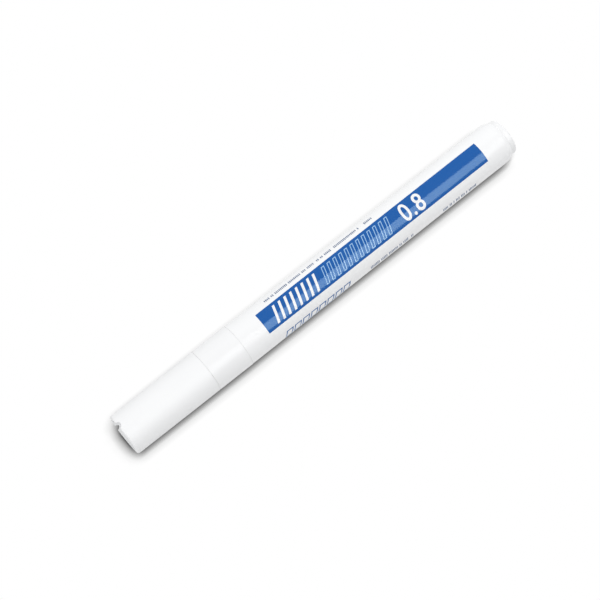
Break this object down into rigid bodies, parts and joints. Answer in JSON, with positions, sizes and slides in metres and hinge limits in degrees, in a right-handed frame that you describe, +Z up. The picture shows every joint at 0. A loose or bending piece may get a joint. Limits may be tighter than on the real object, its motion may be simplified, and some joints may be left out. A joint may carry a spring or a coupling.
{
  "type": "paint marker",
  "caption": "Slim round paint marker: white lacquered tube with a plain blue band, moulded collar, push-on cap, spring valve behind a fine nib, mixing ball and rear plug.",
  "frame": {"origin": "under the middle of the marker, on the surface that it lies on", "axes": "+X along the marker towards the rear plug, with the cap at -X; +Z up from the surface; the blue band faces up"},
  "size_m": [0.1326, 0.0126, 0.0126],
  "materials": {
    "white_lacquer": "gloss",
    "white_plastic": "satin",
    "natural_plastic": "satin",
    "nib_plastic": "matte",
    "guide_steel": "satin",
    "spring_steel": "satin",
    "ball_steel": "polished",
    "seal_rubber": "matte",
    "buffer_fibre": "matte"
  },
  "bodies": {
    "marker": {"barrel": "white_lacquer", "rear_plug": "white_plastic", "front_section": "white_plastic", "section_o_ring": "seal_rubber", "nib_guide": "guide_steel", "ink_buffer": "buffer_fibre", "valve_seat": "natural_plastic", "valve_spring": "spring_steel", "valve_cage": "natural_plastic"},
    "cap": {"cap_shell": "white_plastic", "inner_cap": "natural_plastic"},
    "nib": {"nib": "nib_plastic"},
    "valve": {"valve_stem": "natural_plastic", "valve_seal": "seal_rubber"},
    "ball": {"mixing_ball": "ball_steel"}
  },
  "joints": [
    {"name": "cap_pull", "type": "slide", "parent": "marker", "child": "cap", "axis": [-1, 0, 0], "range_m": [0, 0.036]},
    {"name": "nib_press", "type": "slide", "parent": "marker", "child": "nib", "axis": [1, 0, 0], "range_m": [0, 0.002], "stiffness_N_per_m": 400, "springref_m": -0.005},
    {"name": "valve_lift", "type": "slide", "parent": "marker", "child": "valve", "axis": [1, 0, 0], "range_m": [0, 0.002], "deforming": ["valve_spring"]},
    {"name": "ball_roll", "type": "slide", "parent": "marker", "child": "ball", "axis": [1, 0, 0], "range_m": [-0.0316, 0.0316]}
  ],
  "couplings": [
    {"joint": "valve_lift", "follows": "nib_press", "ratio": 1}
  ]
}
